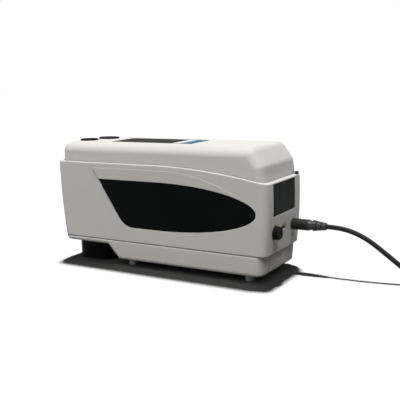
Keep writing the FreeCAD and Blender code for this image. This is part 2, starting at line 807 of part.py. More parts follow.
def build_main_board():
    rear = rear_face_x(board_top, wall) - board_rear_gap
    board = box(front_x + board_front, rear, -board_half_width, board_half_width,
                board_bottom, board_top)
    level = base_z + button_level
    pressed_x = rear_face_x(level, wall) + button_skirt - button_travel
    notch_half = button_radius + button_clearance
    board = board.cut(box(pressed_x - button_clearance, rear + 1, button_y - notch_half,
                          button_y + notch_half, board_bottom - 1, board_top + 1))
    screws = []
    for x, y in screw_posts():
        board = board.cut(rod_z(screw_radius + screw_clearance, x, y, board_bottom - 1, board_top + 1))
        shank = rod_z(screw_radius, x, y, board_bottom - screw_bite, board_top)
        head = rod_z(screw_head_radius, x, y, board_top, board_top + screw_head_height)
        screws.append(shank.fuse(head))
    parts["main_board"] = board
    parts["board_screws"] = Part.makeCompound(screws)
    blocks = []
    for run, y, length, width, height in board_blocks:
        x = front_x + board_front + run
        blocks.append(box(x - length / 2, x + length / 2, y - width / 2, y + width / 2,
                          board_top, board_top + height))
    parts["board_components"] = Part.makeCompound(blocks)
    housing_screws = []
    for x, y in screw_posts():
        head_low = base_z + screw_recess
        head = rod_z(screw_head_radius, x, y, head_low, head_low + screw_head_height)
        head_top = head_low + screw_head_height
        shank = rod_z(screw_radius, x, y, head_top, seam_z + screw_bite)
        reach = cross_length / 2
        half = cross_width / 2
        slot = box(x - reach, x + reach, y - half, y + half, head_low - 1, head_low + cross_depth)
        cross = box(x - half, x + half, y - reach, y + reach, head_low - 1, head_low + cross_depth)
        housing_screws.append(head.fuse(shank).cut([slot, cross]))
    parts["housing_screws"] = Part.makeCompound(housing_screws)


def build_flex_cable():
    """Flat cable from under the display board to the top of the main board."""
    upper = roof_z - lcd_thickness - board_thickness
    half = flex_width / 2
    depth = flex_thickness
    bend = flex_bend_radius
    corners = [
        (flex_x - flex_reach, board_top, 0), (flex_x + depth, board_top, bend + depth),
        (flex_x + depth, upper, bend + depth), (flex_x - flex_reach, upper, 0),
        (flex_x - flex_reach, upper - depth, 0), (flex_x, upper - depth, bend),
        (flex_x, board_top + depth, bend), (flex_x - flex_reach, board_top + depth, 0),
    ]
    parts["flex_cable"] = side_prism(corners, -half, half)


def build_rear_sockets():
    axis_z = base_z + socket_level
    face_x = rear_face_x(axis_z)
    inner_x = rear_face_x(axis_z, wall)
    body_front = inner_x - board_rear_gap - jack_body_length
    body = box(body_front, inner_x - board_rear_gap, jack_y - jack_body_width / 2,
               jack_y + jack_body_width / 2, board_top, axis_z + jack_body_width / 2 + 0.5)
    bush = rod_x(jack_bush_radius, inner_x - board_rear_gap, face_x, jack_y, axis_z)
    bore = rod_x(plug_barrel_radius + jack_bore_clearance, face_x - plug_barrel_length - 1.5,
                 face_x + 1, jack_y, axis_z)
    pin = rod_x(plug_pin_radius, face_x - plug_barrel_length - 1.5, face_x - 2, jack_y, axis_z)
    parts["dc_jack"] = body.fuse(bush).cut(bore).fuse(pin)

    usb_z = base_z + usb_level
    usb_face = rear_face_x(usb_z) - 0.3
    usb_back = usb_face - usb_depth
    half_width = usb_width / 2
    half_height = usb_height / 2
    skin = box(usb_back, usb_face, usb_y - half_width, usb_y + half_width,
               usb_z - half_height, usb_z + half_height)
    hollow = box(usb_back + usb_skin, usb_face + 1, usb_y - half_width + usb_skin,
                 usb_y + half_width - usb_skin, usb_z - half_height + usb_skin,
                 usb_z + half_height - usb_skin)
    tongue = box(usb_back + usb_skin, usb_face - 1.5, usb_y - 2.6, usb_y + 2.6,
                 usb_z - 0.1, usb_z + 0.9)
    riser = box(usb_back, usb_face - wall - board_rear_gap, usb_y - half_width,
                usb_y + half_width, board_top, usb_z - half_height)
    parts["usb_socket"] = Part.makeCompound([skin.cut(hollow), tongue, riser])

    level = base_z + button_level
    button_face = rear_face_x(level)
    cap_inner = rear_face_x(level, wall) + button_skirt
    cap = rod_x(button_radius, cap_inner, button_face + button_rise, button_y, level)
    rim = edges_where(cap, lambda bound: bound.XMin > button_face + button_rise - 0.1)
    cap = cap.makeChamfer(button_edge, rim)
    dish_x = button_face + button_rise + button_dish_radius - button_dish_depth
    dish = Part.makeSphere(button_dish_radius, Vector(dish_x, button_y, level))
    cap = cap.cut(dish)
    stem = rod_x(button_stem_radius, cap_inner - button_stem_length, cap_inner, button_y, level)
    parts["power_button"] = cap.fuse(stem).removeSplitter()
    switch_rear = cap_inner - button_travel - 0.5
    switch = box(switch_rear - switch_length, switch_rear, button_y - switch_half_width,
                 button_y + switch_half_width, board_top, level + 4.5)
    travel_room = button_stem_length + button_travel + button_clearance
    guide = rod_x(button_stem_radius + button_clearance, cap_inner - travel_room,
                  cap_inner, button_y, level)
    parts["power_switch"] = switch.cut(guide)

    label_z = base_z + label_level
    seat_x = rear_x - label_depth
    half_label = label_width / 2 - label_clearance
    half_rise = label_height / 2 - label_clearance
    parts["rear_label_plate"] = box(seat_x, seat_x + label_thickness, label_y - half_label,
                                    label_y + half_label, label_z - half_rise, label_z + half_rise)


def build_eyelet():
    x1 = rear_x - eyelet_inset
    x0 = x1 - eyelet_length
    seat = ledge_level(x0)
    block = box(x0, x1, eyelet_y - eyelet_width / 2, eyelet_y + eyelet_width / 2,
                ledge_level(x1) - 1, seat + eyelet_height)
    block = block.common(above_ledge())
    hole = rod_x(eyelet_hole_radius, x0 - 1, x1 + 1, eyelet_y, seat + eyelet_height / 2)
    parts["strap_eyelet"] = block.cut(hole)


def sphere_centre_z():
    """The sphere's port is seated on the port glass."""
    drop = math.sqrt(sphere_radius ** 2 - glass_radius ** 2)
    return aperture_ring_height + glass_thickness + drop


def nose_plan(grow, z0, z1):
    """The nose's outline grown outward, or shrunk where grow is negative."""
    return plan_prism(-nose_front - grow, nose_rear + grow, nose_half_width + grow,
                      nose_corner + grow, z0, z1)


def build_nose():
    nut_low = overhang_z + wall
    neck_top = nut_low + nut_height
    rim = nose_plan(nose_rim, 0, nose_rim_height)
    rim_edge = edges_where(rim, lambda bound: bound.ZMin > nose_rim_height - 0.1)
    rim = rim.makeChamfer(nose_rim_chamfer, rim_edge)
    cup = nose_plan(0, 0, overhang_z).fuse(rim)
    cup = cup.cut(nose_plan(-nose_wall, nose_floor, overhang_z + 1))
    neck = rod_z(neck_radius, 0, 0, nose_floor - 0.5, neck_top)
    neck = neck.cut(rod_z(neck_inner_radius, 0, 0, nose_floor, neck_top + 1))
    cradle = rod_z(neck_inner_radius + 0.5, 0, 0, nose_floor - 0.5, nose_floor + cradle_height)
    cradle = cradle.cut(Part.makeSphere(sphere_radius, Vector(0, 0, sphere_centre_z())))
    seat = rod_z(aperture_ring_radius, 0, 0, -1, nose_floor + cradle_height + 1)
    dish = rod_z(dish_radius, 0, 0, -1, dish_depth)
    parts["nose_barrel"] = cup.fuse([neck, cradle]).cut([seat, dish]).removeSplitter()
    nut = rod_z(nut_radius, 0, 0, nut_low, neck_top)
    parts["nose_nut"] = nut.cut(rod_z(neck_radius, 0, 0, nut_low - 1, neck_top + 1))
    ring = rod_z(aperture_ring_radius, 0, 0, 0, aperture_ring_height)
    hole = rod_z(aperture_radius, 0, 0, -1, aperture_ring_height + 1)
    parts["aperture_ring"] = ring.cut(hole)
    parts["port_glass"] = rod_z(glass_radius, 0, 0, aperture_ring_height,
                                aperture_ring_height + glass_thickness)


def build_optics():
    centre_z = sphere_centre_z()
    middle = Vector(0, 0, centre_z)
    glass_top = aperture_ring_height + glass_thickness
    shell = Part.makeSphere(sphere_radius, middle)
    shell = shell.cut(Part.makeSphere(sphere_radius - sphere_wall, middle))
    shell = shell.cut(rod_z(glass_radius, 0, 0, 0, glass_top))
    shell = shell.cut(rod_z(sphere_port_radius, 0, 0, 0, glass_top + sphere_wall * 2))
    lower_half = box(-far, far, -far, far, centre_z - far, centre_z)
    parts["sphere_lower"] = shell.common(lower_half)
    collar_low = overhang_z + wall + nut_height
    collar_top = collar_low + collar_height
    mid_wall = sphere_radius - sphere_wall / 2
    collar_bore = math.sqrt(mid_wall ** 2 - (collar_top - centre_z) ** 2)
    collar = rod_z(collar_radius, 0, 0, collar_low, collar_top)
    collar = collar.cut(rod_z(collar_bore, 0, 0, collar_low - 1, collar_top + 1))
    port = Vector(0, 0, glass_top)
    tilt = math.radians(sensor_angle)
    aim = Vector(math.sin(tilt), 0, math.cos(tilt))
    reach = centre_z + sphere_radius - glass_top
    bore_start = port + aim * (reach - 2 * sensor_tube_entry)
    bore = Part.makeCylinder(sensor_tube_radius, 4 * sensor_tube_entry, bore_start, aim)
    parts["sphere_upper"] = shell.cut(lower_half).fuse(collar).cut(bore)
    tube_start = port + aim * (reach - sensor_tube_entry)
    tube = Part.makeCylinder(sensor_tube_radius, sensor_tube_length, tube_start, aim)
    light_path = Part.makeCylinder(sensor_bore_radius, sensor_tube_length + 2, tube_start - aim, aim)
    lens_start = tube_start + aim * lens_station
    lens_blank = Part.makeCylinder(lens_radius, lens_thickness, lens_start, aim)
    parts["sensor_tube"] = tube.cut([light_path, lens_blank])
    crown = lens_start + aim * lens_thickness
    parts["sensor_lens"] = lens_blank.common(
        Part.makeSphere(lens_curve_radius, crown - aim * lens_curve_radius))
    board_start = tube_start + aim * sensor_tube_length
    parts["sensor_board"] = Part.makeCylinder(sensor_board_radius, board_thickness, board_start, aim)
    deck_z = centre_z + sphere_radius - led_board_drop
    deck = rod_z(led_board_radius, 0, 0, deck_z, deck_z + board_thickness)
    parts["led_board"] = deck.cut([Part.makeSphere(sphere_radius, middle), tube])
    build_optics_bracket(collar_top)


def build_optics_bracket(plate_z):
    """Folded sheet bracket: a ring on the sphere's collar and a leg to the cover."""
    plate_top = plate_z + bracket_thickness
    tab_z = floor_z + bracket_boss_height
    tab_top = tab_z + bracket_thickness
    half = bracket_width / 2
    leg_x = bracket_leg_x
    ring = rod_z(nut_radius, 0, 0, plate_z, plate_top)
    arm = box(0, leg_x + bracket_thickness, -half, half, plate_z, plate_top)
    leg = box(leg_x, leg_x + bracket_thickness, -half, half, tab_z, plate_top)
    tab = box(leg_x, leg_x + bracket_tab_length, -half, half, tab_z, tab_top)
    cuts = [rod_z(bracket_opening, 0, 0, plate_z - 1, plate_top + 1)]
    screws = []
    for y in (-bracket_screw_y, bracket_screw_y):
        cuts.append(rod_z(small_screw_radius, bracket_screw_x, y, tab_z - 1, tab_top + 1))
        shank = rod_z(small_screw_radius, bracket_screw_x, y, floor_z + 0.5, tab_top)
        head = rod_z(small_head_radius, bracket_screw_x, y, tab_top, tab_top + small_head_height)
        screws.append(shank.fuse(head))
    parts["optics_bracket"] = fuse_all([ring, arm, leg, tab]).cut(cuts)
    parts["bracket_screws"] = Part.makeCompound(screws)


def build_battery():
    bay_middle = (bay_front_x + lip_inner_x) / 2
    rim_top = floor_z + bay_rim_height
    low = rim_top + cell_lift
    high = low + cell_height
    half_length = cell_length / 2
    half_width = cell_width / 2
    parts["battery_cell"] = box(bay_middle - half_length, bay_middle + half_length,
                                -half_width, half_width, low, high)
    half_length += cell_clearance
    half_width += cell_clearance
    inner = box(bay_middle - half_length, bay_middle + half_length,
                -half_width, half_width, rim_top - 1, high)
    outer = box(bay_middle - half_length - tray_wall, bay_middle + half_length + tray_wall,
                -half_width - tray_wall, half_width + tray_wall, rim_top, high + tray_wall)
    parts["battery_tray"] = outer.cut(inner)
    contacts = []
    end = bay_middle - half_length
    for y in (-contact_pitch, 0.0, contact_pitch):
        contacts.append(box(end, end + contact_thickness, y - contact_width / 2,
                            y + contact_width / 2, low + contact_low, low + contact_high))
    parts["battery_contacts"] = Part.makeCompound(contacts)


def build_feet():
    feet = []
    for x, y in foot_places():
        disc = rod_z(foot_radius - foot_clearance, x, y, 0, base_z + foot_seat_depth)
        edge = edges_where(disc, lambda bound: bound.ZMax < 0.1)
        feet.append(disc.makeFillet(foot_edge_radius, edge))
    parts["feet"] = Part.makeCompound(feet)


def cord_route():
    """Centre line of the free lead from the plug to the coil."""
    axis_z = base_z + socket_level
    start_x = rear_face_x(axis_z) + grip_gap + grip_length
    lie = cord_radius + floor_gap
    steps = [
        (0.0, 0.0, axis_z), (9.5, 0.0, axis_z), (22.0, -0.2, axis_z - 2.2),
        (34.5, -0.4, axis_z - 7.6), (46.0, -0.5, axis_z - 15.6), (56.0, -0.4, lie + 14.2),
        (64.5, -0.2, lie + 8.0), (72.5, -0.1, lie + 3.6), (80.5, 0.0, lie + 0.9),
        (88.2, 0.0, lie),
    ]
    return [Vector(start_x + run, jack_y + aside, level) for run, aside, level in steps]


def free_arc_radius(before, corner, after):
    """0.45 of the shorter run over the tangent of half the turn."""
    turn = math.pi - (before - corner).getAngle(after - corner)
    shorter = min(before.distanceToPoint(corner), after.distanceToPoint(corner))
    return 0.45 * shorter / math.tan(turn / 2)


def swept_cord(points):
    corners = [(points[0], 0)]
    for before, corner, after in zip(points, points[1:], points[2:]):
        radius = free_arc_radius(before, corner, after)
        print("cord radius", round(radius, 1))
        corners.append((corner, radius))
    corners.append((points[-1], 0))
    spine = rounded_wire(corners, closed=False)
    section = Part.Wire([Part.Circle(points[0], points[1] - points[0], cord_radius).toShape()])
    tube = spine.makePipeShell([section], True, False)
    ideal = math.pi * cord_radius ** 2 * spine.Length
    print("cord length", round(spine.Length, 1), "volume share", round(tube.Volume / ideal, 4))
    return tube


def build_lead():
    axis_z = base_z + socket_level
    face_x = rear_face_x(axis_z)
    grip_x = face_x + grip_gap
    sleeve = rod_x(plug_barrel_radius, face_x - plug_barrel_length, grip_x, jack_y, axis_z)
    parts["plug_barrel"] = sleeve.cut(rod_x(plug_pin_radius + 0.6, face_x - plug_barrel_length - 1,
                                            grip_x - 0.4, jack_y, axis_z))
    end_x = grip_x + grip_length
    ribbed = grip_rib_count * grip_rib_pitch
    body_end = end_x - ribbed
    outline = [(grip_x, 0.0), (grip_x, grip_radius - 0.5), (grip_x + 0.6, grip_radius),
               (body_end - 3, grip_radius)]
    for index in range(grip_rib_count):
        share = index / grip_rib_count
        rib_radius = grip_radius + (grip_end_radius - grip_radius) * share * 0.9
        x = body_end + index * grip_rib_pitch
        outline += [(x, rib_radius - 1.0), (x + 1.0, rib_radius - 1.0),
                    (x + 1.0, rib_radius - 0.1), (x + grip_rib_pitch, rib_radius - 0.5)]
    outline += [(end_x, 0.0)]
    points = [Vector(x, jack_y, axis_z + radius) for x, radius in outline]
    edges = [Part.LineSegment(a, b).toShape() for a, b in zip(points, points[1:] + points[:1])]
    half = Part.Face(Part.Wire(edges))
    parts["plug_grip"] = half.revolve(Vector(grip_x, jack_y, axis_z), Vector(1, 0, 0), 360)
    build_coil_and_plug(cord_route())


def build_coil_and_plug(route):
    """The wound rest of the lead, met by the free cord, with the far plug lying on it."""
    coil_outer = coil_inner_radius + 2 * cord_radius * coil_columns
    outer_turn = coil_outer - cord_radius
    lap = math.sqrt(coil_outer ** 2 - outer_turn ** 2)
    centre_x = route[-1].x + lap
    centre_y = route[-1].y - outer_turn
    height = 2 * cord_radius * coil_layers
    ring = rod_z(coil_outer, centre_x, centre_y, floor_gap, height)
    hole = rod_z(coil_inner_radius, centre_x, centre_y, -1, height + 1)
    parts["lead_coil"] = ring.cut(hole)
    parts["lead_cord"] = swept_cord(route).cut(ring)
    half = usb_plug_width / 2
    plug_x = centre_x + usb_plug_offset
    plug_y = centre_y + usb_plug_rear
    shell_y = plug_y - usb_plug_length
    body = box(plug_x - half, plug_x + half, shell_y, plug_y, height, height + usb_plug_height)
    corners = edges_where(body, lambda bound: bound.YLength > usb_plug_length - 1)
    parts["usb_plug_body"] = body.makeFillet(usb_plug_edge_radius, corners)
    half = usb_shell_width / 2
    low = height + (usb_plug_height - usb_shell_height) / 2
    high = low + usb_shell_height
    tip_y = shell_y - usb_shell_length
    skin = usb_skin
    shell = box(plug_x - half, plug_x + half, tip_y, shell_y, low, high)
    hollow = box(plug_x - half + skin, plug_x + half - skin, tip_y - 1, shell_y - skin,
                 low + skin, high - skin)
    tongue = box(plug_x - half + skin, plug_x + half - skin, tip_y + skin, shell_y - skin,
                 low + skin, low + usb_shell_height / 2)
    parts["usb_plug_shell"] = Part.makeCompound([shell.cut(hollow), tongue])


def main():
    build_middle_housing()
    build_inlays()
    build_bottom_cover()
    build_battery_door()
    build_top_cover()
    build_display()
    build_keys()
    build_main_board()
    build_flex_cable()
    build_rear_sockets()
    build_eyelet()
    build_nose()
    build_optics()
    build_battery()
    build_feet()
    build_lead()
    os.makedirs("parts", exist_ok=True)
    for name, shape in parts.items():
        solids = shape.Solids
        print(name, "solids", len(solids), "valid", shape.isValid(), "volume", round(shape.Volume, 1))
        if len(solids) == 1:
            shape = solids[0]
        shape.exportStep("parts/" + name + ".step")


main()
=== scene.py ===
# %% [markdown]
# # A hand-held colorimeter
# The instrument comes as a CAD frame: three grey shells, a black measuring nose,
# a display, two keys, sockets and a charging lead. This lesson dresses that frame.
# The frame is loaded first, and its box is kept, because nothing that is added
# may make the object larger.

# %% Load the CAD frame
import json
import math

import bpy
from mathutils import Matrix, Vector


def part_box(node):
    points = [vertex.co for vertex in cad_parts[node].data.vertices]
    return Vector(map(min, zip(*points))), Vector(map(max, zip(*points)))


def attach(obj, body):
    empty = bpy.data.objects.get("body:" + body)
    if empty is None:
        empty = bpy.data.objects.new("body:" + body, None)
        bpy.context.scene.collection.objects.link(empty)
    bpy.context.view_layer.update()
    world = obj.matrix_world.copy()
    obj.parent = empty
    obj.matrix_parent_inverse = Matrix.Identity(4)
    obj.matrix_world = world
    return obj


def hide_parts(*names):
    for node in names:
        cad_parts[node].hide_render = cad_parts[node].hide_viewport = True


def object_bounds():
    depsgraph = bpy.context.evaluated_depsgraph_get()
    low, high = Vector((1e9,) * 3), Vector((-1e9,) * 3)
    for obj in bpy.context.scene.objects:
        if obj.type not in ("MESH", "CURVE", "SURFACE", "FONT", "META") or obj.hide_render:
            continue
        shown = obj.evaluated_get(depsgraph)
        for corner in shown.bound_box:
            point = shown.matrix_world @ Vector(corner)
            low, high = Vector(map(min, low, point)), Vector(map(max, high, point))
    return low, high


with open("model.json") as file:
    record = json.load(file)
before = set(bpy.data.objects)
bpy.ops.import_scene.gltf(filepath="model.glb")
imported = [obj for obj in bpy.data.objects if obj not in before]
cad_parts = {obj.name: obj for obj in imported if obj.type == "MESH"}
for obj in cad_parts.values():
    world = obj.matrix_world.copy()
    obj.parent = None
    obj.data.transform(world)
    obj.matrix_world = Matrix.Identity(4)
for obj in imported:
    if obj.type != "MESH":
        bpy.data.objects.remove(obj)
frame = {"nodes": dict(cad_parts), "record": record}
cad_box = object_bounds()
bpy.ops.object.select_all(action="DESELECT")
print("CAD box", cad_box)

# %% [markdown]
# ## The camera
# The photograph shows the instrument from its left rear corner, a little above
# the table. Its lines give the viewing angle, so the camera is turned by three
# angles: the azimuth round the object, the elevation and a small roll. They make
# three directions that stand square on each other, and those are the camera's
# axes. That is easier to check by eye than a set of Euler angles.

# %% Camera
azimuth, elevation, roll = (math.radians(angle) for angle in (30.54, 10.32, -1.51))
camera_place = Vector((0.3890, -0.4892, 0.1596))
focal_length, sensor_width = 60.96, 36.0

back = Vector((math.sin(azimuth) * math.cos(elevation),
               -math.cos(azimuth) * math.cos(elevation), math.sin(elevation)))
level_right = Vector((math.cos(azimuth), math.sin(azimuth), 0.0))
level_up = back.cross(level_right)
right = level_right * math.cos(roll) + level_up * math.sin(roll)
up = level_up * math.cos(roll) - level_right * math.sin(roll)

bpy.ops.object.camera_add(location=camera_place)
camera = bpy.context.object
camera.name = "camera"
turn = Matrix((right, up, back)).transposed().to_4x4()
camera.matrix_world = Matrix.Translation(camera_place) @ turn
camera.data.lens = focal_length
camera.data.sensor_width = sensor_width
camera.data.clip_start = 0.01
camera.data.dof.use_dof = False
bpy.context.scene.camera = camera
bpy.context.scene.view_settings.view_transform = "Standard"
print("camera at", tuple(camera_place), "with a lens of", focal_length, "mm")

# %% [markdown]
# ## Helpers for meshes
# A CAD mesh is loose triangles that carry normals of their own. For a visible
# shell, a copy of it drops those normals, is merged into one skin, and its flat
# areas become single faces. Edges sharper than a given angle stay sharp. Weighted
# normals then keep the large flat walls flat in the light, while the narrow round
# edges beside them still shade smoothly.

# %% Helper: a smooth copy of a CAD node
body_with = {node: body for body, members in frame["record"]["behaviour"]["bodies"].items()
             for node in members}
merge_distance = 1e-6
flat_angle = math.radians(0.3)
sharp_angle = math.radians(32.0)


def select_only(piece):
    bpy.ops.object.select_all(action="DESELECT")
    piece.select_set(True)
    bpy.context.view_layer.objects.active = piece


def weighted_normals(piece):
    select_only(piece)
    bpy.ops.object.modifier_add(type="WEIGHTED_NORMAL")
    modifier = piece.modifiers[-1]
    modifier.keep_sharp = True
    modifier.weight = 50
    bpy.ops.object.modifier_apply(modifier=modifier.name)


def smooth_copy(node, name):
    """A copy of a node's mesh as one smooth skin, which stands for the node."""
    source = frame["nodes"][node]
    piece = bpy.data.objects.new(name, source.data.copy())
    bpy.context.scene.collection.objects.link(piece)
    select_only(piece)
    bpy.ops.mesh.customdata_custom_splitnormals_clear()
    bpy.ops.object.mode_set(mode="EDIT")
    bpy.ops.mesh.select_all(action="SELECT")
    bpy.ops.mesh.remove_doubles(threshold=merge_distance)
    bpy.ops.mesh.dissolve_limited(angle_limit=flat_angle)
    bpy.ops.object.mode_set(mode="OBJECT")
    bpy.ops.object.shade_smooth_by_angle(angle=sharp_angle)
    weighted_normals(piece)
    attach(piece, body_with[node])
    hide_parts(node)
    return piece


# %% [markdown]
# ## The charging lead
# The lead is a soft 4 mm cable. Near the plug it stands straight out, then bends
# down under its own weight and lies on the table, where the unused length is
# wound into a neat coil. One smooth NURBS spline carries the whole length: the
# first points are the CAD route, a loop works out the turns of the coil, and the
# last points lead the cable's end up and over the coil to the far plug.

# %% Lead: the route from the plug down to the table
lead_route = [
    (0.20738, 0.0160, 0.03920), (0.21688, 0.0160, 0.03920), (0.22938, 0.0158, 0.03700),
    (0.24188, 0.0156, 0.03160), (0.25338, 0.0155, 0.02360), (0.26338, 0.0156, 0.01625),
    (0.27188, 0.0158, 0.01005), (0.27988, 0.0159, 0.00565), (0.28788, 0.0160, 0.00295),
    (0.29558, 0.0160, 0.00205),
]
lead_diameter = 0.0039
lead_points = list(lead_route)
print("lead route of", len(lead_route), "points")

# %% [markdown]
# The coil is three layers of three turns, a cable's thickness apart. The first
# layer is wound inwards, the second outwards and the third inwards again, as a
# hand does it. In the last fifth of a turn the cable moves over to the next one.

# %% Lead: the coil and its end
coil_x, coil_y = 0.30597, -0.0100
inner, middle, outer = 0.018, 0.022, 0.026
turn_radii = [outer, middle, inner, inner, middle, outer, outer, middle, inner]
turn_levels = [0.00205] * 3 + [0.00605] * 3 + [0.01005] * 3
points_in_turn = 20
last_turn = 8.75
step_share = 0.20
lead_tail = [(-0.0174, 0.0070, 0.0118), (-0.0125, 0.0135, 0.0138), (-0.0045, 0.0170, 0.0153),
             (0.0040, 0.0176, 0.0158), (0.0100, 0.0155, 0.0158), (0.0120, 0.0110, 0.0158),
             (0.0120, 0.0080, 0.0158)]


def ease(share):
    share = min(1.0, max(0.0, share))
    return share * share * (3 - 2 * share)


def coil_point(turns):
    """The point of the coil after that many turns, wound clockwise seen from above."""
    turn_index = int(turns)
    following = min(turn_index + 1, len(turn_radii) - 1)
    step = ease((turns - turn_index - 1 + step_share) / step_share)
    radius = turn_radii[turn_index] + (turn_radii[following] - turn_radii[turn_index]) * step
    level = turn_levels[turn_index] + (turn_levels[following] - turn_levels[turn_index]) * step
    angle = math.pi / 2 - 2 * math.pi * turns
    return (coil_x + radius * math.cos(angle), coil_y + radius * math.sin(angle), level)


for step_index in range(int(last_turn * points_in_turn) + 1):
    lead_points.append(coil_point(step_index / points_in_turn))
for east, north, level in lead_tail:
    lead_points.append((coil_x + east, coil_y + north, level))
print("lead of", len(lead_points), "points")

# %% [markdown]
# The curve is measured before it gets its thickness, as a bare line. Then the
# bevel is set to one metre, so that the radius of each point is the radius of the
# cable. A curve stays editable, which a mesh tube would not.

# %% Lead: the curve
lead_curve = bpy.data.curves.new("charging_lead", "CURVE")
lead_curve.dimensions = "3D"
lead_spline = lead_curve.splines.new("NURBS")
lead_spline.points.add(len(lead_points) - 1)
for control, place in zip(lead_spline.points, lead_points):
    control.co = (*place, 1.0)
    control.radius = lead_diameter / 2
lead_spline.order_u = 3
lead_spline.use_endpoint_u = True
lead_spline.resolution_u = 6
charging_lead = bpy.data.objects.new("charging_lead", lead_curve)
bpy.context.scene.collection.objects.link(charging_lead)

bare_line = bpy.data.meshes.new_from_object(charging_lead)
measured = sum((bare_line.vertices[a].co - bare_line.vertices[b].co).length
               for a, b in (edge.vertices for edge in bare_line.edges))
print("lead length", round(measured, 4))
lead_curve.bevel_depth = 1.0
lead_curve.bevel_resolution = 5
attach(charging_lead, "housing")
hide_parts("lead_cord", "lead_coil")

# %% [markdown]
# ## Finishes
# Each finish is one small network of shader nodes. Noise on the object's own
# coordinates gives colour that drifts a little, roughness that a hand has
# polished in places, and the fine grain that a spark-eroded mould leaves. These
# small helpers each make one node or one idea, so that a finish reads as a list.


# %% Helpers: nodes that every finish needs
def finish_nodes(name):
    material = bpy.data.materials.new(name)
    material.use_nodes = True
    nodes = material.node_tree.nodes
    shader = nodes["Principled BSDF"]
    place = nodes.new("ShaderNodeTexCoord")
    return material, nodes, material.node_tree.links, shader, place.outputs["Object"]


def noise(nodes, links, place, scale, detail=3.0, roughness=0.55):
    texture = nodes.new("ShaderNodeTexNoise")
    texture.inputs["Scale"].default_value = scale
    texture.inputs["Detail"].default_value = detail
    texture.inputs["Roughness"].default_value = roughness
    links.new(place, texture.inputs["Vector"])
    return texture.outputs["Fac"]


def spread(nodes, links, value, low, high, start=0.3, end=0.7):
    """Map a stretch of a value, by default the middle of a noise, to a range of numbers."""
    mapper = nodes.new("ShaderNodeMapRange")
    mapper.inputs["From Min"].default_value = start
    mapper.inputs["From Max"].default_value = end
    mapper.inputs["To Min"].default_value = low
    mapper.inputs["To Max"].default_value = high
    links.new(value, mapper.inputs["Value"])
    return mapper.outputs["Result"]


def blend_colours(nodes, links, share, first, second):
    """The first colour where the share is 0, the second where it is 1."""
    mixer = nodes.new("ShaderNodeMix")
    mixer.data_type = "RGBA"
    for socket, colour in ((mixer.inputs[6], first), (mixer.inputs[7], second)):
        if isinstance(colour, tuple):
            socket.default_value = (*colour, 1.0)
        else:
            links.new(colour, socket)
    links.new(share, mixer.inputs[0])
    return mixer.outputs[2]


def combine(nodes, links, operation, first, second):
    """One sum on two values, each a socket or a number."""
    sum_node = nodes.new("ShaderNodeMath")
    sum_node.operation = operation
    for socket, value in zip(sum_node.inputs, (first, second)):
        if isinstance(value, (int, float)):
            socket.default_value = value
        else:
            links.new(value, socket)
    return sum_node.outputs[0]


# %% [markdown]
# ## Wear, painted shade and grain
# A Bevel node gives the normal that the surface would have with rounder edges.
# Where it turns away from the true normal there is an edge, and there the plastic
# is rubbed. An Ambient Occlusion node finds the seams and corners, and there shade
# is painted into the colour, darker the deeper the hollow. Noise breaks both up,
# because real wear is never even. The grain is bump, far too fine for a mesh. It
# may start from the rounded normal, and then an edge looks as soft as the moulded
# one although the mesh keeps its corner.

# %% Helpers: edges, hollows and bump
lookup_samples = 6
edge_facing = (0.90, 0.995)
hollow_openness = (0.40, 0.92)


def rounded_normal(nodes, reach):
    rounded = nodes.new("ShaderNodeBevel")
    rounded.samples = lookup_samples
    rounded.inputs["Radius"].default_value = reach
    return rounded.outputs["Normal"]


def rubbed_edges(nodes, links, place, reach):
    """A share from 0 on open faces to 1 on edges, broken up by noise."""
    true_face = nodes.new("ShaderNodeNewGeometry")
    facing = nodes.new("ShaderNodeVectorMath")
    facing.operation = "DOT_PRODUCT"
    links.new(rounded_normal(nodes, reach), facing.inputs[0])
    links.new(true_face.outputs["Normal"], facing.inputs[1])
    edge = spread(nodes, links, facing.outputs["Value"], 1.0, 0.0, *edge_facing)
    patches = spread(nodes, links, noise(nodes, links, place, 160.0, 4.0), 0.1, 1.0)
    return combine(nodes, links, "MULTIPLY", edge, patches)


def painted_hollow_shade(nodes, links, place, reach):
    """A share of painted shade, from 0 on open faces to 1 deep in a seam or corner, broken up by
    noise.
    """
    hollow = nodes.new("ShaderNodeAmbientOcclusion")
    hollow.samples = lookup_samples
    hollow.inputs["Distance"].default_value = reach
    depth = spread(nodes, links, hollow.outputs["AO"], 1.0, 0.0, *hollow_openness)
    patches = spread(nodes, links, noise(nodes, links, place, 90.0, 4.0), 0.6, 1.0)
    return combine(nodes, links, "MULTIPLY", depth, patches)


def add_bump(nodes, links, shader, height, distance, strength=0.35, soft_edge=None):
    bump = nodes.new("ShaderNodeBump")
    bump.inputs["Strength"].default_value = strength
    bump.inputs["Distance"].default_value = distance
    if soft_edge:
        links.new(rounded_normal(nodes, soft_edge), bump.inputs["Normal"])
    links.new(height, bump.inputs["Height"])
    links.new(bump.outputs["Normal"], shader.inputs["Normal"])


# %% [markdown]
# ## Moulded plastic and rubber
# Nearly all that a hand touches here is moulded: pale grey shells, black keys,
# the black nose and the plug. One helper makes them all, because they differ only
# in colour, roughness, grain and how much they shine. The gloss of the blacks is
# kept low: on white paper a shiny black would look grey in a slanting view.

# %% Helper: a moulded finish
drift_scale, touch_scale = 9.0, 38.0
polish = 0.08
rub_reach = 0.0005
# How far the Ambient Occlusion node looks for the seams where shade is painted.
shade_reach = 0.0028


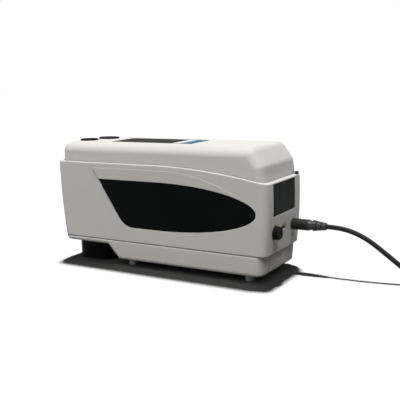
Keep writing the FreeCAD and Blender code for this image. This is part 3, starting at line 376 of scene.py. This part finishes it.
def moulded(name, colour, darker, roughness, grain_scale, grain_height,
            rubbed=None, gloss=0.5, painted_shade=None, soft_edge=None):
    material, nodes, links, shader, place = finish_nodes(name)
    drift = noise(nodes, links, place, drift_scale, 4.0)
    tone = blend_colours(nodes, links, spread(nodes, links, drift, 0.0, 1.0), colour, darker)
    if rubbed:
        edge = rubbed_edges(nodes, links, place, rub_reach)
        tone = blend_colours(nodes, links, edge, tone, rubbed)
    # Painted shade: the colour turns darker in seams and corners, where shade falls.
    if painted_shade:
        hollow = painted_hollow_shade(nodes, links, place, shade_reach)
        tone = blend_colours(nodes, links, hollow, tone, painted_shade)
    links.new(tone, shader.inputs["Base Color"])
    touch = noise(nodes, links, place, touch_scale, 5.0, 0.6)
    links.new(spread(nodes, links, touch, roughness - polish, roughness + polish),
              shader.inputs["Roughness"])
    shader.inputs["Specular IOR Level"].default_value = gloss
    grain = noise(nodes, links, place, grain_scale, 2.0, 0.5)
    add_bump(nodes, links, shader, grain, grain_height, soft_edge=soft_edge)
    return material


# %% [markdown]
# The three shells are one pale grey plastic. The lower shell has the roundest
# edges on the real object, so its finish softens them over a longer reach.


# %% Finishes of the shells
def shell_plastic(name, soft_edge):
    # The darkest of these colours is shade painted into the seams and corners.
    return moulded(name, (0.680, 0.664, 0.632), (0.655, 0.638, 0.606), roughness=0.56,
                   grain_scale=2600.0, grain_height=0.00005, rubbed=(0.74, 0.73, 0.70),
                   painted_shade=(0.18, 0.175, 0.160), gloss=0.16, soft_edge=soft_edge)


shell_grey = shell_plastic("shell_grey", soft_edge=0.0008)
lower_grey = shell_plastic("lower_grey", soft_edge=0.0024)
print("shell finishes:", shell_grey.name, "and", lower_grey.name)

# %% [markdown]
# The blacks differ more than a glance shows. The inlays and the nose are the
# deepest and the most matt, the keys are rubber, and the plug and the cable have
# a soft shine along their top.

# %% Finishes of the black parts
eyelet_black = moulded("eyelet_black", (0.024, 0.024, 0.025), (0.017, 0.017, 0.018),
                       roughness=0.45, grain_scale=1600.0, grain_height=0.00004,
                       rubbed=(0.070, 0.070, 0.070), gloss=0.35)
inlay_black = moulded("inlay_black", (0.0048, 0.0056, 0.0056), (0.0036, 0.0044, 0.0044),
                      roughness=0.62, grain_scale=2200.0, grain_height=0.00006, gloss=0.02)
nose_black = moulded("nose_black", (0.0040, 0.0040, 0.0044), (0.0028, 0.0028, 0.0032),
                     roughness=0.62, grain_scale=1800.0, grain_height=0.00006,
                     rubbed=(0.014, 0.014, 0.015), gloss=0.03)
key_rubber = moulded("key_rubber", (0.012, 0.012, 0.013), (0.009, 0.009, 0.010),
                     roughness=0.66, grain_scale=2400.0, grain_height=0.00004,
                     rubbed=(0.022, 0.022, 0.023), gloss=0.03)
cord_sheath = moulded("cord_sheath", (0.007, 0.007, 0.008), (0.005, 0.005, 0.006),
                      roughness=0.48, grain_scale=1500.0, grain_height=0.00004,
                      rubbed=(0.020, 0.020, 0.021), gloss=0.16)
plug_black = moulded("plug_black", (0.012, 0.012, 0.013), (0.008, 0.008, 0.009),
                     roughness=0.40, grain_scale=1500.0, grain_height=0.00004,
                     rubbed=(0.035, 0.035, 0.036), gloss=0.40)
label_face = moulded("label_face", (0.0125, 0.0140, 0.0145), (0.0095, 0.0105, 0.0110),
                     roughness=0.55, grain_scale=3000.0, grain_height=0.00002, gloss=0.03)
print("black finishes made, the last one is", label_face.name)

# %% [markdown]
# What is left is small: the grey feet, the print on the rear face, and the plain
# plastics, rubber, film and white coating inside. They are finished with the same
# care, because the model may be opened and looked at.

# %% Finishes of the feet, the print and the plastics inside
foot_rubber = moulded("foot_rubber", (0.250, 0.252, 0.258), (0.215, 0.218, 0.222),
                      roughness=0.60, grain_scale=1600.0, grain_height=0.00004, gloss=0.20)
print_grey = moulded("print_grey", (0.085, 0.088, 0.090), (0.070, 0.072, 0.074),
                     roughness=0.55, grain_scale=3000.0, grain_height=0.00001)
mat_rubber = moulded("mat_rubber", (0.34, 0.35, 0.36), (0.30, 0.31, 0.32),
                     roughness=0.55, grain_scale=1900.0, grain_height=0.00004)
chip_epoxy = moulded("chip_epoxy", (0.018, 0.018, 0.020), (0.012, 0.012, 0.014),
                     roughness=0.48, grain_scale=3200.0, grain_height=0.00003,
                     rubbed=(0.05, 0.05, 0.05), gloss=0.35)
tray_plastic = moulded("tray_plastic", (0.045, 0.046, 0.050), (0.036, 0.037, 0.040),
                       roughness=0.50, grain_scale=2000.0, grain_height=0.00005,
                       rubbed=(0.09, 0.09, 0.09))
flex_amber = moulded("flex_amber", (0.34, 0.13, 0.018), (0.28, 0.10, 0.014),
                     roughness=0.28, grain_scale=800.0, grain_height=0.00002)
white_coating = moulded("white_coating", (0.90, 0.90, 0.885), (0.87, 0.87, 0.855),
                        roughness=0.85, grain_scale=2800.0, grain_height=0.00005, gloss=0.15)
print("other moulded finishes made, the last one is", white_coating.name)

# %% [markdown]
# ## The display window
# The window is a dark, hard-coated sheet over the screen. In a slanting view the
# screen shows as three plain areas: a long dark field, a white strip and a blue
# title bar at the rear end. The areas are cut out of the colour by comparing the
# object's own X and Y with the edges of the screen, so nothing is drawn by hand.

# %% Finish: the window and its screen
window_low, window_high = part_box("display_window")
screen_margin = 0.0022
strip_start = window_high.x - 0.0193
bar_start = window_high.x - 0.0113
field_dark, field_hazy = (0.013, 0.0135, 0.0135), (0.018, 0.0185, 0.0185)
strip_white = (0.66, 0.68, 0.68)
title_blue = (0.036, 0.145, 0.245)


def between(nodes, links, value, low, high):
    """1 where the value lies between two numbers, else 0."""
    above = combine(nodes, links, "GREATER_THAN", value, low)
    below = combine(nodes, links, "LESS_THAN", value, high)
    return combine(nodes, links, "MULTIPLY", above, below)


def window_finish():
    material, nodes, links, shader, place = finish_nodes("window_and_screen")
    split = nodes.new("ShaderNodeSeparateXYZ")
    links.new(place, split.inputs[0])
    along, across = split.outputs[0], split.outputs[1]
    haze = spread(nodes, links, noise(nodes, links, place, 45.0, 3.0), 0.0, 1.0)
    field = blend_colours(nodes, links, haze, field_dark, field_hazy)
    inside_screen = between(nodes, links, across, window_low.y + screen_margin,
                            window_high.y - screen_margin)
    strip = between(nodes, links, along, strip_start, bar_start)
    title = between(nodes, links, along, bar_start, window_high.x - screen_margin)
    strip = combine(nodes, links, "MULTIPLY", strip, inside_screen)
    title = combine(nodes, links, "MULTIPLY", title, inside_screen)
    tone = blend_colours(nodes, links, strip, field, strip_white)
    tone = blend_colours(nodes, links, title, tone, title_blue)
    links.new(tone, shader.inputs["Base Color"])
    smears = noise(nodes, links, place, 70.0, 5.0, 0.65)
    links.new(spread(nodes, links, smears, 0.52, 0.64), shader.inputs["Roughness"])
    shader.inputs["Specular IOR Level"].default_value = 0.02
    coating = noise(nodes, links, place, 900.0, 2.0)
    add_bump(nodes, links, shader, coating, 0.00001, 0.15)
    return material


window_sheet = window_finish()
print("window from", tuple(window_low), "to", tuple(window_high))

# %% [markdown]
# ## Metals
# Plated metal is bright, with fine scratches that lie along one axis. A Mapping
# node squeezes the noise in two directions more than in the third, which is all
# that a scratch pattern needs. Edges are a little brighter, as if just rubbed.

# %% Finishes of metals
stain_share, edge_share = 0.82, 1.15


def plated(name, colour, roughness, stretch):
    material, nodes, links, shader, place = finish_nodes(name)
    mapping = nodes.new("ShaderNodeMapping")
    mapping.inputs["Scale"].default_value = stretch
    links.new(place, mapping.inputs["Vector"])
    scratches = noise(nodes, links, mapping.outputs["Vector"], 12.0, 6.0, 0.7)
    dull = tuple(channel * stain_share for channel in colour)
    stain = spread(nodes, links, noise(nodes, links, place, 60.0), 0.0, 1.0)
    tone = blend_colours(nodes, links, stain, colour, dull)
    edge = rubbed_edges(nodes, links, place, 0.0002)
    bright = tuple(min(1.0, channel * edge_share) for channel in colour)
    links.new(blend_colours(nodes, links, edge, tone, bright), shader.inputs["Base Color"])
    links.new(spread(nodes, links, scratches, roughness - 0.08, roughness + 0.10),
              shader.inputs["Roughness"])
    shader.inputs["Metallic"].default_value = 1.0
    add_bump(nodes, links, shader, scratches, 0.00002, 0.25)
    return material


nickel = plated("nickel_plate", (0.62, 0.60, 0.57), 0.26, (300.0, 40.0, 40.0))
zinc = plated("zinc_plate", (0.58, 0.59, 0.61), 0.34, (80.0, 80.0, 300.0))
gold = plated("gold_flash", (0.90, 0.62, 0.24), 0.24, (60.0, 60.0, 240.0))
sheet_steel = plated("sheet_steel", (0.55, 0.56, 0.58), 0.38, (240.0, 30.0, 30.0))
dark_metal = plated("dark_metal", (0.055, 0.055, 0.060), 0.36, (60.0, 60.0, 240.0))
cell_foil = plated("cell_foil", (0.50, 0.52, 0.56), 0.40, (40.0, 160.0, 40.0))
print("metal finishes made, the last one is", cell_foil.name)

# %% [markdown]
# ## Circuit board and glass
# A circuit board is green lacquer over copper, and the copper shows as slightly
# raised tracks. A Brick texture gives tracks at the right scale without drawing
# one. The port's window and the lens are clear glass with a trace of dust.

# %% Finishes of boards and optics
lacquer_green, track_green = (0.010, 0.085, 0.040), (0.045, 0.190, 0.085)
second_share, dust_share = 0.86, 0.96


def lacquered_board(name, lacquer, track):
    material, nodes, links, shader, place = finish_nodes(name)
    tracks = nodes.new("ShaderNodeTexBrick")
    tracks.inputs["Scale"].default_value = 260.0
    tracks.inputs["Mortar Size"].default_value = 0.035
    tracks.inputs["Color1"].default_value = (*lacquer, 1.0)
    second = (channel * second_share for channel in lacquer)
    tracks.inputs["Color2"].default_value = (*second, 1.0)
    tracks.inputs["Mortar"].default_value = (*track, 1.0)
    links.new(place, tracks.inputs["Vector"])
    drift = spread(nodes, links, noise(nodes, links, place, 30.0), 0.0, 0.35)
    links.new(blend_colours(nodes, links, drift, tracks.outputs["Color"], lacquer),
              shader.inputs["Base Color"])
    links.new(spread(nodes, links, noise(nodes, links, place, 120.0), 0.22, 0.38),
              shader.inputs["Roughness"])
    add_bump(nodes, links, shader, tracks.outputs["Fac"], 0.00003, 0.5)
    return material


def clear_glass(name, tint):
    material, nodes, links, shader, place = finish_nodes(name)
    haze = spread(nodes, links, noise(nodes, links, place, 50.0), 0.0, 1.0)
    dusty = tuple(channel * dust_share for channel in tint)
    links.new(blend_colours(nodes, links, haze, tint, dusty), shader.inputs["Base Color"])
    links.new(spread(nodes, links, noise(nodes, links, place, 240.0, 5.0), 0.02, 0.09),
              shader.inputs["Roughness"])
    shader.inputs["Transmission Weight"].default_value = 1.0
    shader.inputs["IOR"].default_value = 1.52
    add_bump(nodes, links, shader, noise(nodes, links, place, 600.0), 0.000005, 0.1)
    return material


board_green = lacquered_board("board_green", lacquer_green, track_green)
port_window = clear_glass("port_window", (0.96, 0.98, 0.98))
print("board and glass finishes:", board_green.name, "and", port_window.name)

# %% [markdown]
# ## Dress the frame
# A node that shows from outside gets a smooth copy, because a shell's facets
# would show in the light. A small table gives each node its piece's name and its
# finish.

# %% Dress the pieces that show
dressed = {
    "middle_housing": ("shell_middle", shell_grey), "top_cover": ("shell_top", shell_grey),
    "bottom_cover": ("shell_bottom", lower_grey), "battery_door": ("door_of_bay", shell_grey),
    "side_inlay_near": ("inlay_near", inlay_black), "side_inlay_far": ("inlay_far", inlay_black),
    "display_window": ("window_of_display", window_sheet),
    "measure_key": ("key_measure", key_rubber), "menu_key": ("key_menu", key_rubber),
    "power_button": ("button_power", key_rubber), "nose_barrel": ("nose_cup", nose_black),
    "aperture_ring": ("ring_of_port", dark_metal), "port_glass": ("glass_of_port", port_window),
    "plug_grip": ("grip_of_plug", plug_black), "plug_barrel": ("barrel_of_plug", nickel),
    "usb_plug_body": ("far_plug_body", plug_black), "usb_plug_shell": ("far_plug_shell", nickel),
    "feet": ("rubber_feet", foot_rubber), "rear_label_plate": ("label_plate", label_face),
    "usb_socket": ("socket_usb", nickel), "dc_jack": ("socket_round", chip_epoxy),
    "strap_eyelet": ("eyelet", eyelet_black), "housing_screws": ("screws_of_housing", zinc),
}
pieces = {}
for node, (piece_name, finish) in dressed.items():
    piece = smooth_copy(node, piece_name)
    piece.data.materials.clear()
    piece.data.materials.append(finish)
    pieces[node] = piece
charging_lead.data.materials.append(cord_sheath)
print("dressed", len(pieces), "pieces that show")

# %% [markdown]
# The pieces inside keep their CAD mesh and only take a finish. Nothing of them
# shows while the shells are on, but someone who opens the model finds boards that
# look like boards. What is left without a finish is printed, and should be none.

# %% Finish the pieces inside
inside = {
    "lcd_module": tray_plastic, "display_board": board_green, "key_mat": mat_rubber,
    "main_board": board_green, "board_components": chip_epoxy, "board_screws": zinc,
    "flex_cable": flex_amber, "power_switch": chip_epoxy, "nose_nut": nose_black,
    "sphere_lower": white_coating, "sphere_upper": white_coating, "sensor_tube": dark_metal,
    "sensor_lens": port_window, "sensor_board": board_green, "led_board": board_green,
    "optics_bracket": sheet_steel, "bracket_screws": zinc, "battery_cell": cell_foil,
    "battery_tray": tray_plastic, "battery_contacts": gold,
}
for node, finish in inside.items():
    mesh = frame["nodes"][node].data
    mesh.materials.clear()
    mesh.materials.append(finish)
left_bare = set(frame["nodes"]) - set(dressed) - set(inside) - {"lead_cord", "lead_coil"}
print("finished", len(inside), "pieces inside, left bare:", sorted(left_bare))

# %% [markdown]
# The lead is one piece that leaves the housing at the plug's grip.

# %% [markdown]
# ## The printed marks on the rear face
# Two small grey marks are printed on the rear face: the usual sign for a power
# button under the button, and the usual sign for direct current under the round
# socket. Their bars are cubes, made thin and rounded at the edges. The face is
# bowed, so a ray cast on the housing's mesh finds where each mark has to sit.

# %% Helpers: a printed bar and a finished mark
housing_skin = pieces["middle_housing"]
print_thickness = 0.00008
line_width = 0.00050
ray_start_gap = 0.1


def rear_face_at(y, z):
    """X of the housing's rear face at a place."""
    start = Vector((cad_box[1].x + ray_start_gap, y, z))
    hit, place, _, _ = housing_skin.ray_cast(start, Vector((-1.0, 0.0, 0.0)))
    return place.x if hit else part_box("middle_housing")[1].x


def place_bar(y, z, width, height):
    """One printed bar on the rear face."""
    bpy.ops.object.select_all(action="DESELECT")
    bpy.ops.mesh.primitive_cube_add(size=1.0, location=(rear_face_at(y, z), y, z))
    bar = bpy.context.object
    bar.scale = (print_thickness, width, height)
    bpy.ops.object.transform_apply(location=True, rotation=True, scale=True)
    bpy.ops.object.modifier_add(type="BEVEL")
    bar.modifiers[-1].width = print_thickness * 0.4
    bar.modifiers[-1].segments = 2
    bpy.ops.object.modifier_apply(modifier=bar.modifiers[-1].name)
    return bar


def join_as(name, parts, finish):
    """Join the parts to one piece on the housing."""
    bpy.ops.object.select_all(action="DESELECT")
    for part in parts:
        part.select_set(True)
    bpy.context.view_layer.objects.active = parts[0]
    bpy.ops.object.join()
    piece = bpy.context.object
    piece.name = name
    piece.data.materials.clear()
    piece.data.materials.append(finish)
    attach(piece, "housing")
    return piece


print("rear face at", round(rear_face_at(0.0, 0.03), 5))

# %% [markdown]
# The power sign is a ring with a gap at its top and a bar in the gap. The ring
# starts as a small square, which is spun about the X axis in edit mode. A torus
# would have no gap, and cutting one in it takes more steps.

# %% The power mark
power_y, power_z = -0.0190, 0.0310
ring_radius = 0.0013
ring_gap = math.radians(70)
ring_start = math.radians(90) + ring_gap / 2
ring_steps = 28
bar_centre, bar_height = ring_radius * 0.75, ring_radius * 1.4

bpy.ops.object.select_all(action="DESELECT")
bpy.ops.mesh.primitive_plane_add(size=line_width, location=(
    rear_face_at(power_y, power_z), power_y + ring_radius * math.cos(ring_start),
    power_z + ring_radius * math.sin(ring_start)))
ring = bpy.context.object
ring.scale = (print_thickness / line_width, 1.0, 1.0)
ring.rotation_euler = (ring_start, 0.0, 0.0)
bpy.ops.object.transform_apply(location=True, rotation=True, scale=True)
bpy.ops.object.mode_set(mode="EDIT")
bpy.ops.mesh.select_all(action="SELECT")
bpy.ops.mesh.spin(steps=ring_steps, angle=2 * math.pi - ring_gap, axis=(1, 0, 0),
                  center=(rear_face_at(power_y, power_z), power_y, power_z))
bpy.ops.mesh.select_all(action="SELECT")
bpy.ops.mesh.remove_doubles(threshold=merge_distance)
bpy.ops.mesh.normals_make_consistent(inside=False)
bpy.ops.object.mode_set(mode="OBJECT")
power_bar = place_bar(power_y, power_z + bar_centre, line_width, bar_height)
power_mark = join_as("power_mark", [ring, power_bar], print_grey)
print("power mark", [round(side, 4) for side in power_mark.dimensions])

# %% [markdown]
# The direct current sign is a long bar over three short ones. They are four
# printed bars, placed by the same helper, so each follows the bow of the face.

# %% The direct current mark
current_y, current_z = 0.0150, 0.0304
mark_width = 0.0034
dash = mark_width / 4
half_gap = 0.0006

bars = [place_bar(current_y, current_z + half_gap, mark_width, line_width)]
for shift in (-1, 0, 1):
    bars.append(place_bar(current_y + shift * (mark_width - dash) / 2,
                          current_z - half_gap, dash, line_width))
current_mark = join_as("current_mark", bars, print_grey)
print("current mark", [round(side, 4) for side in current_mark.dimensions])

# %% [markdown]
# ## The floor
# The photograph is a studio picture on white, with a firm dark shadow just in
# front of the instrument. The floor is pale to the camera and to what gloss and
# glass show, but much darker to the light that bounces off it. White paper would
# throw so much light back that the shaded rear face would lose its shade.

# %% Floor
floor_size = 12.0
floor_tone, bounce_tone = 0.285, 0.025

bpy.ops.object.select_all(action="DESELECT")
bpy.ops.mesh.primitive_plane_add(size=floor_size, location=(0.0, 0.0, 0.0))
floor = bpy.context.object
floor.name = "studio_floor"
floor_paper = bpy.data.materials.new("floor_paper")
floor_paper.use_nodes = True
paper_nodes = floor_paper.node_tree.nodes
paper_links = floor_paper.node_tree.links
paper_shader = paper_nodes["Principled BSDF"]
paper_shader.inputs["Roughness"].default_value = 0.9
paper_shader.inputs["Specular IOR Level"].default_value = 0.0


def seen_directly(nodes, links):
    """1 for the camera's rays and for what gloss and glass show, else 0."""
    ray = nodes.new("ShaderNodeLightPath").outputs
    seen = combine(nodes, links, "MAXIMUM", ray["Is Camera Ray"], ray["Is Glossy Ray"])
    return combine(nodes, links, "MAXIMUM", seen, ray["Is Transmission Ray"])


paper_seen = seen_directly(paper_nodes, paper_links)
paper_tone = blend_colours(paper_nodes, paper_links, paper_seen,
                           (bounce_tone,) * 3, (floor_tone,) * 3)
paper_links.new(paper_tone, paper_shader.inputs["Base Color"])
floor.data.materials.append(floor_paper)
print("floor", floor_size, "m wide")

# %% [markdown]
# ## The world
# The world is a plain white backdrop for the camera, and a faint cool light for
# everything else. A Light Path node tells the two apart, so the background is
# white without any more light on the instrument.

# %% World
ambient_strength = 0.11

world = bpy.data.worlds.new("studio")
bpy.context.scene.world = world
world.use_nodes = True
world_nodes = world.node_tree.nodes
world_links = world.node_tree.links
ambient = world_nodes["Background"]
ambient.inputs["Color"].default_value = (0.97, 0.985, 1.0, 1.0)
ambient.inputs["Strength"].default_value = ambient_strength
backdrop = world_nodes.new("ShaderNodeBackground")
backdrop.inputs["Color"].default_value = (1.0, 1.0, 1.0, 1.0)
backdrop.inputs["Strength"].default_value = 1.0
chooser = world_nodes.new("ShaderNodeMixShader")
world_links.new(seen_directly(world_nodes, world_links), chooser.inputs[0])
world_links.new(ambient.outputs[0], chooser.inputs[1])
world_links.new(backdrop.outputs[0], chooser.inputs[2])
world_links.new(chooser.outputs[0], world_nodes["World Output"].inputs["Surface"])
print("ambient light", ambient_strength)

# %% [markdown]
# ## The lamps
# The top of the instrument is bright, its near side is an even grey and its rear
# face is in shade, while the shadow on the paper is firm. One lamp can't do all
# of that, so the lamps are linked: a sun above and a little behind lights the
# floor alone and throws the shadow, and softer suns light the instrument alone.
# The sun behind is kept out of reflections, where it would wash out the window.


# %% Lamps
def sun(name, towards_lamp, strength, width, floor_state):
    """A sun lamp; a strength of 1 makes a white sheet that faces it look white."""
    bpy.ops.object.light_add(type="SUN", location=Vector(towards_lamp))
    lamp = bpy.context.object
    lamp.name = name
    lamp.data.energy = strength * math.pi
    lamp.data.angle = math.radians(width)
    lamp.rotation_euler = Vector(towards_lamp).to_track_quat("Z", "Y").to_euler()
    linked = bpy.data.collections.new(name + "_lights")
    linked.objects.link(floor)
    linked.collection_objects[0].light_linking.link_state = floor_state
    lamp.light_linking.receiver_collection = linked
    print(name, "strength", strength, "width", width, "floor", floor_state)
    return lamp


sun("lamp_for_floor", (-0.10, 0.20, 1.0), strength=3.65, width=5.0, floor_state="INCLUDE")
sun("lamp_above", (0.19, -0.23, 1.0), strength=1.12, width=40.0, floor_state="EXCLUDE")
sun("lamp_left", (-0.50, -1.0, 0.04), strength=0.37, width=30.0, floor_state="EXCLUDE")
lamp_behind = sun("lamp_behind", (-0.45, 1.0, 0.15), strength=0.34, width=40.0,
                  floor_state="EXCLUDE")
lamp_behind.visible_glossy = False

# %% [markdown]
# ## Finish
# At the end the view layer is updated once more.

# %% Update the view layer
bpy.context.view_layer.update()
